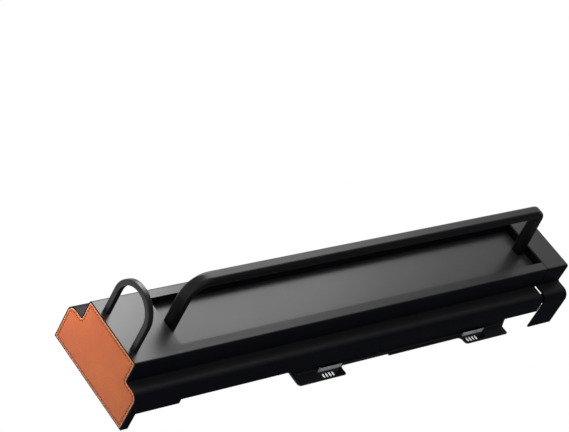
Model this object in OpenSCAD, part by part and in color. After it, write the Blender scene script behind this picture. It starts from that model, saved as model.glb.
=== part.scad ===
// Pull-out hanger rail that screws under a wardrobe shelf. It is drawn as it hangs: the shelf face
// is z = 0 with the shelf above it, the padded front faces -Y, and the carriage pulls out along -Y.
// Lengths along Y are counted from the front of the closed carriage, heights from its flat deck.

/* [Carriage body] */
// Overall length from the leather pad to the rear hood
body_l = 500; // [440:5:560]
// Width across the narrow deck that faces down
deck_w = 68; // [67:0.5:72]
// Width across the two skirts
skirt_w = 101; // [100:0.5:110]
// Height of the skirts' free edges above the deck
skirt_h = 35.8; // [33:0.2:42]
// Height of the shoulder, where the body widens
shoulder_h = 19.6; // [18:0.1:19.8]
// Radius of the shoulder's round corner
shoulder_r = 8; // [6:0.25:9]
// Radius of the deck's long edges
edge_r = 2.2; // [1:0.1:3]
// Radius in the notch under the shoulder
notch_r = 1.6; // [0.8:0.1:2.2]
// Wall of the aluminium profile
body_wall = 1.8; // [1.5:0.1:2]
// Width of the long recess in the deck
recess_w = 49; // [46:0.5:50]
// Depth of the recess
recess_d = 8.5; // [7:0.1:9]

/* [Front cap] */
// Length of the front cap with its pad
front_cap_l = 51; // [46:0.5:56]
// Height of both end caps above the deck
cap_h = 57.6; // [56:0.2:57.8]
// Wall of the front cap
cap_wall = 2; // [1.6:0.1:2.4]
// Depth of the full-height rim behind the pad
cap_rim_l = 7.7; // [7:0.1:10]
// Height of the cap's sleeve above the deck
sleeve_h = 40.5; // [38:0.5:48]

/* [Leather pad] */
// Thickness of the pad
pad_t = 2.6; // [2:0.1:3.2]
// Width of the cap's edge that frames the pad
pad_border = 1; // [0.6:0.1:2]
// How far the pad stands proud of that edge
pad_proud = 0.5; // [0.2:0.1:1]

/* [Pull loop] */
// Width across the loop
loop_w = 45.5; // [40:0.5:52]
// Drop of the loop below the deck
loop_drop = 48; // [40:0.5:56]
// Side of the loop's square bar
loop_bar = 5; // [4:0.1:5.6]
// Radius of the bar's edges
loop_edge_r = 0.6; // [0.3:0.05:1]
// Distance of the loop's middle from the front
loop_y = 7.6; // [7.5:0.1:12]

/* [Hanging rod] */
// Width of the rod
rod_w = 10.2; // [9:0.1:14]
// Thickness of the rod
rod_t = 9.2; // [8:0.1:11]
// Radius of the rod's long edges
rod_edge_r = 2.7; // [1.5:0.1:3.5]
// Drop of the rod's underside below the deck
rod_drop = 47; // [44:0.5:60]
// Gap from the front cap to the front leg
rod_front_gap = 3.1; // [2:0.1:8]
// Gap from the recess end to the rear foot
rod_rear_gap = 1; // [0.8:0.1:4]
// Middle radius of the front bend
front_bend_r = 17.2; // [12:0.2:20]
// Middle radius of the rear bend
rear_bend_r = 8; // [7:0.2:12]
// Lean of the rear leg
rear_lean = 7; // [0:0.5:10]

/* [Rear hood] */
// Length of the hood along the deck
hood_l = 27.6; // [22:0.2:34]
// Length of the hood's skirts
hood_skirt_l = 30; // [28:0.5:40]
// Gap between the hood's skirts and the profile's
hood_gap = 3.5; // [1:0.1:5]
// Width of the groove between the profile's deck and the hood's
hood_groove = 0.8; // [0.4:0.1:1.2]
// Wall of the hood
hood_wall = 1.6; // [1.2:0.1:2]

/* [Base plate] */
// Height of the shelf face above the deck
stand_h = 59.5; // [59.5:0.1:62]
// Thickness of the base plate
plate_t = 1.5; // [1.2:0.1:1.5]
// Length of the base plate from ear to ear
base_l = 255; // [240:5:280]
// Distance of the base plate from the front
base_setback = 187.5; // [170:0.5:200]
// Width of the base plate between its ears
base_w = 85.4; // [84:0.2:87]
// Width of its narrower front half between the ears
waist_w = 82; // [81.9:0.1:83]
// Distance of the step at the end of that half from the plate's front
waist_l = 111.5; // [100:0.5:120]
// How far the plate runs on behind the rear ears
tail_l = 17; // [12:0.5:20]
// Width of the plate behind the rear ears
tail_w = 70; // [68:0.5:72]
// Width across the ears
ear_w = 101.6; // [100:0.2:104]
// Length of each ear
ear_l = 54; // [50:1:60]
// Spacing of the fixing slots across the body
slot_dx = 32; // [24:1:32]
// Distance of the front fixing slots from the plate's front
slot_inset = 13; // [10:0.5:16]
// Width of a fixing slot
slot_w = 4.6; // [4:0.1:5.2]
// End-to-end length of a fixing slot
slot_l = 7; // [6:0.1:7.4]

/* [Ball slides] */
// Height of a slide's fixed member
rail_h = 35; // [33:0.2:35]
// Length of the fixed members
rail_l = 400; // [380:5:410]
// Distance of the fixed members from the front
rail_setback = 60; // [58:1:70]
// Half the distance between the two slides' inner faces
rail_half_gap = 20.8; // [20:0.1:20.9]
// Sheet thickness of the members
sheet_t = 1.2; // [1:0.05:1.2]
// Radius of a ball
ball_r = 1.5; // [1.4:0.01:1.5]
// Running clearance between a ball and its races
ball_play = 0.1; // [0.05:0.01:0.1]
// Balls in one row of a cage
row_balls = 10; // [6:1:12]
// Distance between two balls of a row
ball_pitch = 18; // [16:0.5:19]

/* [Hidden] */

$fn = 48;
// How far a cut runs past the surface that it opens
overrun = 1;
// Radial clearance of a fastener in its hole, and the gap between parts that only stand beside
fit = 0.05;
side_gap = 0.3;
// How far the leaning leg runs into its bend, and how much thinner it is there
lap_l = 0.2;
lap_t = 0.02;

// Places along Y from the front, and the row frame's origin in the middle of the fixing slots
slot_rear_inset = 18;
slot_dy = base_l - slot_inset - slot_rear_inset;
front_y = -(base_setback + slot_inset + slot_dy / 2);
deck_seam = body_l - hood_l;
skirt_seam = body_l - hood_skirt_l;
profile_skirt_end = skirt_seam - hood_gap;
tongue_t = 1.4;
tongue_out_r = shoulder_r - body_wall - side_gap;
tongue_in_r = tongue_out_r - tongue_t;
tongue_l = hood_gap + 2.8;
tongue_root_l = 4.5;
tongue_root_r = shoulder_r - hood_wall / 2;
deck_z = -stand_h;
pad_seat = pad_t;
face_back = pad_seat + cap_wall;

// Front cap
bulkhead_t = 2.5;
bulkhead_h = 19;
loop_boss_r = 4.6;
loop_boss_h = 3;

// Screw ports of the profile: one in each deck rim
port_r = 3.1;
port_bore_r = 1.6;
port_slit = 1.5;
rim_w = (deck_w - recess_w) / 2;
port_x = recess_w / 2 + rim_w / 2;
port_z = 5;

// Ribs of the profile that carry the inner members
rib_t = 2.5;

// Slide section. u runs from the back of the fixed member toward the ribs, v from the middle line.
race_r = ball_r + ball_play;
race_c = race_r + sheet_t / 2;
web_gap = 1.4;
tip_gap = 0.7;
outer_web_u = sheet_t / 2;
mid_web_u = outer_web_u + sheet_t + web_gap;
outer_ball_u = mid_web_u + race_c;
inner_ball_u = mid_web_u + sheet_t + web_gap + race_c;
inner_web_u = inner_ball_u + race_c + sheet_t + tip_gap;
slide_t = inner_web_u + sheet_t / 2;
outer_ball_v = rail_h / 2 - sheet_t - race_r;
inner_ball_v = outer_ball_v - 2 * race_c;
outer_flange_v = outer_ball_v + race_c;
mid_flange_v = outer_ball_v - race_c;
inner_flange_v = inner_ball_v - race_c;

// Where the slides lie
rail_top_gap = 0.2;
slide_x = rail_half_gap + slide_t;
slide_z = -(plate_t + rail_top_gap + rail_h / 2);
slide_h = slide_z - deck_z;
rib_top_h = slide_h + inner_flange_v - sheet_t;

// Cages
cage_t = 0.5;
cage_rise = (sheet_t / 2 + race_r) / 2;
cage_reach = 1.2;
cage_play = 0.15;
cage_setback = rail_setback + rail_l / 4;
cage_l = ball_pitch * row_balls;

// Moving members
bumper_l = 9.5;
bumper_gap = 0.5;
mid_l = rail_l - bumper_l - bumper_gap;
inner_lead = 5;
inner_l = rail_l - 2 * inner_lead;
front_tab_t = sheet_t;

// Hanger angles
hanger_t = 1.5;
hanger_flange_w = 5.2;
hanger_drop = 28;
hanger_inset = 4;

// Fixing plates in the ears
window_x = 41.6;
window_w = ear_w / 2 - window_x - 1;
window_l = 25;
window_inset = 1.5;
fixing_t = 1.2;
lip_h = 5;
tooth_slots = 4;
tooth_pitch = 3.6;
tooth_slot_w = 1.7;
tooth_slot_l = 4.2;
ear_front_r = 3.5;
ear_rear_r = 1;
ear_root_r = 4;

// Taper of the plate behind its rear ears
tail_taper = 11;

// Fasteners
rivet_r = 2;
rivet_head_r = 3;
rivet_tail_r = 2.5;
rivet_tail_h = 1;
m4_r = 2;
m4_head_r = 3.8;
m4_head_h = 2.2;
m4_nut_af = 7;
m4_nut_h = 3.2;
m5_r = 2.5;
m5_head_r = 4.75;
m5_head_h = 2.75;
washer_r = 5;
washer_t = 1;
m3_r = 1.5;
m3_head_r = 2.7;
m3_head_h = 2;
screw_grip = 8;
drive_r = 1.25;
drive_share = 0.6;

// Fastener rows, from the front
outer_rivet_y = [for (i = [0 : 3]) base_setback + base_l * (i + 0.5) / 4];
base_rivet_y = [for (i = [0 : 3]) base_setback + base_l * (i + 0.5) / 4 + 2 * rivet_tail_r];
inner_screw_y = [for (i = [0 : 3]) rail_setback + rail_l * (i + 0.25) / 4];

// A section in X and height above the deck, drawn out between two places along Y
module along(y0, y1)
    translate([0, front_y + y1, deck_z]) rotate([90, 0, 0]) linear_extrude(y1 - y0) children();

// The same on a slide: u and v, on the +X side
module along_slide(y0, y1)
    translate([slide_x, front_y + y1, slide_z]) rotate([90, 0, 0])
        linear_extrude(y1 - y0) mirror([1, 0]) children();

module left() mirror([1, 0, 0]) children();

module both() {
    children();
    left() children();
}

// A place on the deck's line, x across, y from the front, h above the deck
module at(x, y, h) translate([x, front_y + y, deck_z + h]) children();

// A round bar along +Z between two heights
module post(r, h0, h1) translate([0, 0, h0]) cylinder(r = r, h = h1 - h0);

// The section of a bar with round edges
module bar_section(w, t, r) {
    square([w, t - 2 * r], center = true);
    square([w - 2 * r, t], center = true);
    for (x = [-1, 1], y = [-1, 1]) translate([x * (w / 2 - r), y * (t / 2 - r)]) circle(r);
}

// Outline

// A slab from height low to top with round lower corners
module round_slab(half_w, low, top, r) {
    translate([-half_w, low + r]) square([2 * half_w, top - low - r]);
    translate([r - half_w, low]) square([2 * (half_w - r), top - low]);
    for (s = [-1, 1]) translate([s * (half_w - r), low + r]) circle(r);
}

// The fill in the notch under the shoulder
module cove(inset) {
    r = notch_r + inset;
    translate([deck_w / 2 - inset, shoulder_h + inset - r]) difference() {
        translate([-overrun, 0]) square([r + overrun, r + overrun]);
        translate([r, 0]) circle(r);
        translate([r, -overrun]) square([overrun, r + 2 * overrun]);
    }
}

// The end outline, moved in by inset, up to a height
module outline(inset, top) {
    round_slab(deck_w / 2 - inset, inset, top, max(edge_r - inset, edge_r / 4));
    round_slab(skirt_w / 2 - inset, shoulder_h + inset, top, shoulder_r - inset);
    cove(inset);
    mirror([1, 0]) cove(inset);
}

module shell(wall, top) difference() {
    outline(0, top);
    outline(wall, top + overrun);
}

// Carriage body

module port_ring() translate([port_x, port_z]) circle(port_r);

module port_cut() translate([port_x, port_z]) {
    circle(port_bore_r);
    translate([-port_slit / 2, 0]) square([port_slit, port_r + overrun]);
}

module body_section() difference() {
    union() {
        shell(body_wall, skirt_h);
        translate([-recess_w / 2 - body_wall, 0])
            square([recess_w + 2 * body_wall, recess_d + body_wall]);
        for (s = [0, 1]) mirror([s, 0]) {
            port_ring();
            translate([rail_half_gap - rib_t, recess_d]) square([rib_t, rib_top_h - recess_d]);
        }
    }
    translate([-recess_w / 2, -overrun]) square([recess_w, recess_d + overrun]);
    for (s = [0, 1]) mirror([s, 0]) port_cut();
}

module body_profile() color("#26262a") difference() {
    along(front_cap_l, deck_seam) body_section();
    // The skirts stop short of the rear hood
    both() at(deck_w / 2, profile_skirt_end, 0)
        cube([skirt_w, deck_seam - profile_skirt_end + overrun, cap_h]);
    for (p = rod_feet()) at(0, p, 0) post(m5_r + fit, 0, cap_h);
    both() for (y = inner_screw_y) at(0, y, slide_h) rotate([0, 90, 0]) cylinder(r = m4_r + fit, h = deck_w);
}

// Front cap

module front_cap() color("#1d1d20") difference() {
    union() {
        along(pad_seat, face_back) outline(0, cap_h);
        along(pad_proud, pad_seat) difference() {
            outline(0, cap_h);
            outline(pad_border, cap_h - pad_border);
        }
        along(pad_seat, cap_rim_l) shell(cap_wall, cap_h);
        along(pad_seat, front_cap_l) shell(cap_wall, sleeve_h);
        along(front_cap_l - bulkhead_t, front_cap_l)
            round_slab(deck_w / 2 - cap_wall / 2, cap_wall / 2, bulkhead_h, edge_r);
        both() at(loop_x, loop_y, 0) post(loop_boss_r, cap_wall / 2, cap_wall + loop_boss_h);
    }
    both() at(loop_x, loop_y, 0) post(m3_r + fit, -overrun, cap_h);
    both() at(port_x, front_cap_l - bulkhead_t - overrun, port_z) rotate([-90, 0, 0])
        cylinder(r = m3_r + fit, h = bulkhead_t + 2 * overrun);
}

module leather_pad() color("#c0602f") along(0, pad_seat) outline(pad_border + fit, cap_h - pad_border - fit);

// Pull loop

loop_x = (loop_w - loop_bar) / 2;
loop_leg = loop_drop - loop_w / 2;

module pull_loop() color("#2a2a30") at(0, loop_y, 0) difference() {
    union() {
        both() translate([loop_x, 0, -loop_leg]) linear_extrude(loop_leg)
            bar_section(loop_bar, loop_bar, loop_edge_r);
        translate([0, 0, -loop_leg]) rotate([90, 0, 0]) rotate([0, 0, 180]) rotate_extrude(angle = 180)
            translate([loop_x, 0]) bar_section(loop_bar, loop_bar, loop_edge_r);
    }
    both() translate([loop_x, 0, 0]) post(m3_r + fit, -screw_grip - overrun, overrun);
}

module loop_screws() color("#b9bcc0") both() at(loop_x, loop_y, 0)
    pan_screw(m3_r, m3_head_r, m3_head_h, cap_wall + loop_boss_h, -screw_grip);

// Hanging rod

rod_mid_h = rod_t / 2 - rod_drop;
rod_front_y = front_cap_l + rod_front_gap + rod_t / 2;
rod_rear_y = deck_seam - rod_rear_gap - rod_t / 2;
// The rear leg leans forward over this length by this much
rear_run = recess_d - rod_mid_h;
rear_top_y = rod_rear_y - rear_run * tan(rear_lean);
rear_tangent = rear_bend_r * tan((90 - rear_lean) / 2);

function rod_feet() = [rod_front_y, rod_rear_y];

module rod_section(inset = 0) bar_section(rod_w - 2 * inset, rod_t - 2 * inset, rod_edge_r - inset);

// A bend of the rod in the YZ plane, about its centre, from angle a0 over angle da
module rod_bend(r, a0, da) rotate([0, 90, 0]) rotate([0, 0, a0]) rotate_extrude(angle = da)
    translate([r, 0]) rotate(90) rod_section();

module hanging_rod() color("#232327") difference() {
    union() {
        at(0, rod_front_y, rod_mid_h + front_bend_r) linear_extrude(recess_d - rod_mid_h - front_bend_r)
            rod_section();
        at(0, rod_front_y + front_bend_r, rod_mid_h + front_bend_r) rod_bend(front_bend_r, -90, 90);
        at(0, rod_front_y + front_bend_r, rod_mid_h) rotate([-90, 0, 0])
            linear_extrude(rear_top_y - rear_tangent - rod_front_y - front_bend_r) rod_section();
        at(0, rear_top_y - rear_tangent, rod_mid_h + rear_bend_r)
            rod_bend(rear_bend_r, 0, 90 - rear_lean);
        intersection() {
            at(0, rear_top_y, rod_mid_h) rotate([-rear_lean, 0, 0]) translate([0, 0, rear_tangent - lap_l])
                linear_extrude(rear_run * 2) rod_section(lap_t);
            at(-rod_w, 0, rod_mid_h) cube([2 * rod_w, body_l, recess_d - rod_mid_h]);
        }
    }
    for (p = rod_feet()) at(0, p, 0) post(m5_r + fit, recess_d - screw_grip - overrun, recess_d + overrun);
}

module rod_screws() color("#b9bcc0") for (p = rod_feet()) at(0, p, 0)
    pan_screw(m5_r, m5_head_r, m5_head_h, recess_d + body_wall + washer_t, recess_d - screw_grip);

module rod_washers() color("#c9ccd0") for (p = rod_feet()) at(0, p, recess_d + body_wall) difference() {
    cylinder(r = washer_r, h = washer_t);
    translate([0, 0, -overrun]) cylinder(r = m5_r + fit, h = washer_t + 2 * overrun);
}

// A screw along Z with a domed head that sits on height h_seat and a shank down to h_tip
module pan_screw(r, head_r, head_h, h_seat, h_tip) difference() {
    union() {
        post(r, h_tip, h_seat + fit);
        translate([0, 0, h_seat]) intersection() {
            cylinder(r = head_r, h = head_h);
            translate([0, 0, head_h - head_r * 2]) sphere(head_r * 2);
        }
    }
    translate([0, 0, h_seat + head_h * (1 - drive_share)]) cylinder(r = drive_r, h = head_h, $fn = 6);
}

// Rear hood

// A quarter ring in the shoulder's round corner
module corner_ring(r) translate([skirt_w / 2 - shoulder_r, shoulder_h + shoulder_r]) difference() {
    intersection() {
        circle(r);
        mirror([0, 1]) square(r);
    }
    circle(tongue_in_r);
}

module rear_hood() color("#1f1f26") difference() {
    union() {
        difference() {
            along(skirt_seam, body_l) shell(hood_wall, cap_h);
            // Ahead of the groove only the skirts run on
            at(-deck_w / 2 - side_gap, skirt_seam - overrun, -overrun)
                cube([deck_w + 2 * side_gap, deck_seam + hood_groove - skirt_seam + overrun, cap_h]);
        }
        along(deck_seam, deck_seam + bulkhead_t)
            round_slab(deck_w / 2 - hood_wall / 2, hood_wall / 2, bulkhead_h, edge_r);
        // Tongues that enter the profile's round corners and bridge the gap
        both() {
            along(skirt_seam - tongue_l, skirt_seam + tongue_root_l) corner_ring(tongue_out_r);
            along(skirt_seam, skirt_seam + tongue_root_l) corner_ring(tongue_root_r);
        }
    }
    both() at(port_x, deck_seam - overrun, port_z) rotate([-90, 0, 0])
        cylinder(r = m3_r + fit, h = bulkhead_t + 2 * overrun);
}

module rear_hood_screws() color("#b9bcc0") both() at(port_x, deck_seam, port_z)
    rotate([-90, 0, 0]) pan_screw(m3_r, m3_head_r, m3_head_h, bulkhead_t, -screw_grip);

module front_cap_screws() color("#b9bcc0") both() at(port_x, front_cap_l, port_z)
    rotate([90, 0, 0]) pan_screw(m3_r, m3_head_r, m3_head_h, bulkhead_t, -screw_grip);

// Base plate

// An ear with its inner edge on x = 0 and its front edge on y = 0
module ear() {
    w = (ear_w - waist_w) / 2;
    translate([-overrun, 0]) square([overrun + w - ear_front_r, ear_l]);
    translate([-overrun, ear_front_r]) square([overrun + w, ear_l - ear_front_r - ear_rear_r]);
    translate([-overrun, ear_l - 2 * ear_rear_r]) square([overrun + w - ear_rear_r, 2 * ear_rear_r]);
    translate([w - ear_front_r, ear_front_r]) circle(ear_front_r);
    translate([w - ear_rear_r, ear_l - ear_rear_r]) circle(ear_rear_r);
}

// The fill of an inner corner at the origin, towards +x and +y
module root_fillet() difference() {
    translate([-overrun, -overrun]) square(ear_root_r + overrun);
    translate([ear_root_r, ear_root_r]) circle(ear_root_r);
}

module fixing_slots() for (s = [-1, 1], i = [-1, 1])
    translate([s * slot_dx / 2, i * slot_dy / 2]) {
        square([slot_l - slot_w, slot_w], center = true);
        for (e = [-1, 1]) translate([e * (slot_l - slot_w) / 2, 0]) circle(slot_w / 2);
    }

rear_ear = base_l - ear_l;
// The front corners of the windows, beside the inner ends of the ears
window_y = [ear_l - window_inset - window_l, rear_ear + window_inset];
plate_y = front_y + base_setback;

// The plate's outline, from its front edge on y = 0
module plate_outline() {
    translate([-waist_w / 2, 0]) square([waist_w, base_l]);
    translate([-base_w / 2, waist_l]) square([base_w, base_l - waist_l]);
    for (s = [0, 1]) mirror([s, 0]) {
        for (y = [0, rear_ear]) translate([waist_w / 2, y]) ear();
        translate([waist_w / 2, ear_l]) root_fillet();
        translate([base_w / 2, rear_ear]) mirror([0, 1]) root_fillet();
        polygon([[0, base_l - overrun], [base_w / 2, base_l - overrun], [base_w / 2, base_l],
            [tail_w / 2, base_l + tail_taper], [tail_w / 2, base_l + tail_l], [0, base_l + tail_l]]);
    }
}

module base_plate() color("#202024") difference() {
    translate([0, 0, -plate_t]) linear_extrude(plate_t) difference() {
        translate([0, plate_y]) plate_outline();
        fixing_slots();
        for (s = [0, 1], y = window_y) mirror([s, 0])
            translate([window_x, plate_y + y]) square([window_w, window_l]);
    }
    both() for (y = base_rivet_y) translate([base_rivet_x, front_y + y, 0]) flush_rivet_hole(plate_t);
}

module slotted_fixing_plates() color("#b4b8bd") both() for (y = window_y)
    translate([window_x, plate_y + y, -plate_t]) difference() {
        union() {
            cube([window_w, window_l, fixing_t]);
            translate([0, 0, -lip_h]) cube([fixing_t, window_l, lip_h + fixing_t]);
        }
        for (i = [0 : tooth_slots - 1])
            translate([window_w - tooth_slot_l - fixing_t / 2, tooth_pitch * (i + 0.5), -overrun])
                cube([tooth_slot_l, tooth_slot_w, fixing_t + 2 * overrun]);
    }

// Hanger angles

hanger_x = slide_x + hanger_t / 2;
base_rivet_x = slide_x + hanger_t + hanger_flange_w / 2;

module hanger_angle_right() color("#26262a") difference() {
    translate([0, front_y + base_setback + base_l - hanger_inset, 0]) rotate([90, 0, 0])
        linear_extrude(base_l - 2 * hanger_inset) {
            strip([hanger_x, -plate_t - hanger_drop], [hanger_x, -plate_t - hanger_t / 2], hanger_t);
            strip([hanger_x, -plate_t - hanger_t / 2],
                [slide_x + hanger_t + hanger_flange_w, -plate_t - hanger_t / 2], hanger_t);
        }
    for (y = outer_rivet_y) translate([slide_x - overrun, front_y + y, slide_z]) rotate([0, 90, 0])
        cylinder(r = rivet_r + fit, h = hanger_t + 2 * overrun);
    for (y = base_rivet_y) translate([base_rivet_x, front_y + y, -plate_t - hanger_t - overrun])
        cylinder(r = rivet_r + fit, h = hanger_t + 2 * overrun);
}

module hanger_angle_left() left() hanger_angle_right();

// A flush head from z = 0 down through a sheet, as a hole and as the rivet in it
module flush_rivet_hole(t) {
    translate([0, 0, -t - overrun]) cylinder(r = rivet_r + fit, h = t + 2 * overrun);
    translate([0, 0, -t]) cylinder(r1 = rivet_r + fit, r2 = rivet_head_r + fit, h = t);
}

module flush_rivet(t, grip) {
    translate([0, 0, -grip]) cylinder(r = rivet_r, h = grip);
    translate([0, 0, -t]) cylinder(r1 = rivet_r, r2 = rivet_head_r, h = t);
    translate([0, 0, -grip - rivet_tail_h]) cylinder(r = rivet_tail_r, h = rivet_tail_h);
}

module base_rivets() color("#8d9095") both() for (y = base_rivet_y) translate([base_rivet_x, front_y + y, 0])
    flush_rivet(plate_t, plate_t + hanger_t);

// Ball slides

// A strip of sheet from a to b with round ends
module strip(a, b, t) {
    d = b - a;
    translate(a) rotate(atan2(d[1], d[0])) translate([0, -t / 2]) square([norm(d), t]);
    for (p = [a, b]) translate(p) circle(t / 2);
}

// A quarter of sheet rolled round a ball at c: quarter 0 is up and right of it, 2 down and left
module race(c, quarter) translate(c) intersection() {
    difference() {
        circle(race_r + sheet_t);
        circle(race_r);
    }
    rotate(quarter * 90) square(race_r + sheet_t + overrun);
}

module both_edges() {
    children();
    mirror([0, 1]) children();
}

module outer_section() both_edges() {
    strip([outer_web_u, 0], [outer_web_u, outer_flange_v], sheet_t);
    strip([outer_web_u, outer_flange_v], [outer_ball_u, outer_flange_v], sheet_t);
    race([outer_ball_u, outer_ball_v], 0);
    translate([outer_ball_u + race_c, outer_ball_v]) circle(sheet_t / 2);
}

module mid_section() both_edges() {
    strip([mid_web_u, 0], [mid_web_u, outer_ball_v], sheet_t);
    race([outer_ball_u, outer_ball_v], 2);
    strip([outer_ball_u, mid_flange_v], [inner_ball_u, mid_flange_v], sheet_t);
    race([inner_ball_u, inner_ball_v], 0);
    translate([inner_ball_u + race_c, inner_ball_v]) circle(sheet_t / 2);
}

module inner_section() both_edges() {
    strip([inner_web_u, 0], [inner_web_u, inner_flange_v], sheet_t);
    strip([inner_web_u, inner_flange_v], [inner_ball_u, inner_flange_v], sheet_t);
    race([inner_ball_u, inner_ball_v], 2);
    translate([inner_ball_u - race_c, inner_ball_v]) circle(sheet_t / 2);
}

// A cage: a web beside the member's, and edges that pass slantwise through the balls' centres
module cage_section(web_u, c) both_edges() {
    bend = [c[0] - cage_rise, c[1] + cage_rise];
    strip([web_u, 0], [web_u, bend[1]], cage_t);
    strip([web_u, bend[1]], bend, cage_t);
    strip(bend, [c[0] + cage_reach, c[1] - cage_reach], cage_t);
}

// Both rows of balls of a cage on the +X side, of any radius, about a centre in u and v
module ball_rows(c, r) for (i = [0 : row_balls - 1], s = [-1, 1])
    translate([slide_x - c[0], front_y + cage_setback + ball_pitch * (i + 0.5), slide_z + s * c[1]])
        sphere(r);

module outer_rail_right() color("#9aa0a6") difference() {
    along_slide(rail_setback, rail_setback + rail_l) outer_section();
    for (y = outer_rivet_y) translate([slide_x, front_y + y, slide_z]) rotate([0, -90, 0])
        translate([0, 0, sheet_t]) flush_rivet_hole(sheet_t);
}

module outer_rail_left() left() outer_rail_right();

module outer_rail_rivets() color("#8d9095") both() for (y = outer_rivet_y)
    translate([slide_x, front_y + y, slide_z]) rotate([0, -90, 0])
        translate([0, 0, sheet_t]) flush_rivet(sheet_t, sheet_t + hanger_t);

module outer_rail_bumpers() color("#2d2d30") both()
    along_slide(rail_setback + rail_l - bumper_l, rail_setback + rail_l)
        translate([sheet_t, -mid_flange_v]) square([inner_web_u - 2 * sheet_t, 2 * mid_flange_v]);

module mid_rail_right() color("#a6acb2")
    along_slide(rail_setback, rail_setback + mid_l) mid_section();

module mid_rail_left() left() mid_rail_right();

module inner_rail_right() color("#aeb4ba") difference() {
    union() {
        along_slide(rail_setback - inner_lead, rail_setback - inner_lead + inner_l) inner_section();
        // The turned end at the front that meets the pull
        along_slide(rail_setback - inner_lead, rail_setback - inner_lead + front_tab_t)
            translate([inner_ball_u, -inner_flange_v])
                square([inner_web_u - inner_ball_u, 2 * inner_flange_v]);
    }
    for (y = inner_screw_y) at(0, y, slide_h) rotate([0, 90, 0]) cylinder(r = m4_r + fit, h = slide_x);
}

module inner_rail_left() left() inner_rail_right();

outer_cage_u = sheet_t + web_gap / 2;
inner_cage_u = mid_web_u + sheet_t / 2 + web_gap / 2;

module outer_cage_right() color("#c8a24a") difference() {
    along_slide(cage_setback, cage_setback + cage_l) cage_section(outer_cage_u, [outer_ball_u, outer_ball_v]);
    ball_rows([outer_ball_u, outer_ball_v], ball_r + cage_play);
}

module outer_cage_left() left() outer_cage_right();

module inner_cage_right() color("#c8a24a") difference() {
    along_slide(cage_setback, cage_setback + cage_l) cage_section(inner_cage_u, [inner_ball_u, inner_ball_v]);
    ball_rows([inner_ball_u, inner_ball_v], ball_r + cage_play);
}

module inner_cage_left() left() inner_cage_right();

module outer_balls_right() color("#d5d8dc") ball_rows([outer_ball_u, outer_ball_v], ball_r);

module outer_balls_left() left() outer_balls_right();

module inner_balls_right() color("#d5d8dc") ball_rows([inner_ball_u, inner_ball_v], ball_r);

module inner_balls_left() left() inner_balls_right();

// Screws through the inner members and ribs, with their nuts inside the channel
module inner_rail_screws() color("#b9bcc0") both() for (y = inner_screw_y) at(0, y, slide_h)
    rotate([0, 90, 0]) pan_screw(m4_r, m4_head_r, m4_head_h, rail_half_gap + sheet_t,
        rail_half_gap - rib_t - m4_nut_h - overrun);

module inner_rail_nuts() color("#b9bcc0") both() for (y = inner_screw_y)
    at(rail_half_gap - rib_t - m4_nut_h, y, slide_h) rotate([0, 90, 0]) difference() {
        cylinder(d = m4_nut_af / cos(30), h = m4_nut_h, $fn = 6);
        translate([0, 0, -overrun]) cylinder(r = m4_r + fit, h = m4_nut_h + 2 * overrun);
    }

base_plate();
slotted_fixing_plates();
hanger_angle_left();
hanger_angle_right();
base_rivets();
outer_rail_left();
outer_rail_right();
outer_rail_rivets();
outer_rail_bumpers();
outer_cage_left();
outer_cage_right();
outer_balls_left();
outer_balls_right();
mid_rail_left();
mid_rail_right();
inner_cage_left();
inner_cage_right();
inner_balls_left();
inner_balls_right();
inner_rail_left();
inner_rail_right();
inner_rail_screws();
inner_rail_nuts();
body_profile();
front_cap();
front_cap_screws();
leather_pad();
pull_loop();
loop_screws();
hanging_rod();
rod_screws();
rod_washers();
rear_hood();
rear_hood_screws();
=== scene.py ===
"""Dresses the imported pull-out hanger rail: finishes, stitched pad, floor, lamps and camera."""

import enum
import logging
import math
from dataclasses import dataclass, field
from typing import Iterator, Mapping, Optional, Sequence, TypeVar, Union

import bmesh
import bpy
from mathutils import Matrix, Vector
from mathutils.geometry import delaunay_2d_cdt


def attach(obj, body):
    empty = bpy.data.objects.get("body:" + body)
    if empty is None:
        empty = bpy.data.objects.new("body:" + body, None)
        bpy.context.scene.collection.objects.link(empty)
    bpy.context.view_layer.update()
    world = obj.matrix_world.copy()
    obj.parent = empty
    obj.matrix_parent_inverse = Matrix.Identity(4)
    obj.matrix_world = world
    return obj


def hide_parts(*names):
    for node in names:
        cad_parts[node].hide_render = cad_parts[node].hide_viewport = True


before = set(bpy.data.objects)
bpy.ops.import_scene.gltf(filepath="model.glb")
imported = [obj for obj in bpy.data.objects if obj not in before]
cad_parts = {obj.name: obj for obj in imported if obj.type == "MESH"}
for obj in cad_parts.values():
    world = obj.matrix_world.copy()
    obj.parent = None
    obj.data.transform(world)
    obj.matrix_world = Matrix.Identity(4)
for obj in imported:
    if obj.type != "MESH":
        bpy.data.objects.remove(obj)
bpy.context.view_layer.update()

MM = 0.001
LOG = logging.getLogger("hanger_rail")

RGB = tuple[float, float, float]
Point2 = tuple[float, float]
Point3 = tuple[float, float, float]
Item = TypeVar("Item")

WHITE: RGB = (1.0, 1.0, 1.0)
BLACK: RGB = (0.0, 0.0, 0.0)
Z_AXIS = 2
MIDDLE = 0.5

# Where a face starts to count as looking down, and where it does so fully.
DOWN_RANGE = (0.8, 0.98)
BACKDROP_RAYS = ("Is Camera Ray", "Is Glossy Ray", "Is Transmission Ray")

# A Mix node's colour sockets, whose names it shares with its other kinds of socket.
MIX_LOW, MIX_HIGH, MIX_RESULT = 6, 7, 2

# The triangulation's kind of output, how near two points count as one, and a guard for a side
# of no length.
TRIANGLES_INSIDE = 1
SAME_POINT = 1e-5
LEAST_SQUARE = 1e-12


def srgb(red: float, green: float, blue: float) -> RGB:
    """Turns a colour from 0 to 255, as a screen shows it, into linear light."""
    shares = (red / 255, green / 255, blue / 255)
    return tuple(c / 12.92 if c <= 0.04045 else ((c + 0.055) / 1.055) ** 2.4 for c in shares)


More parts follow.
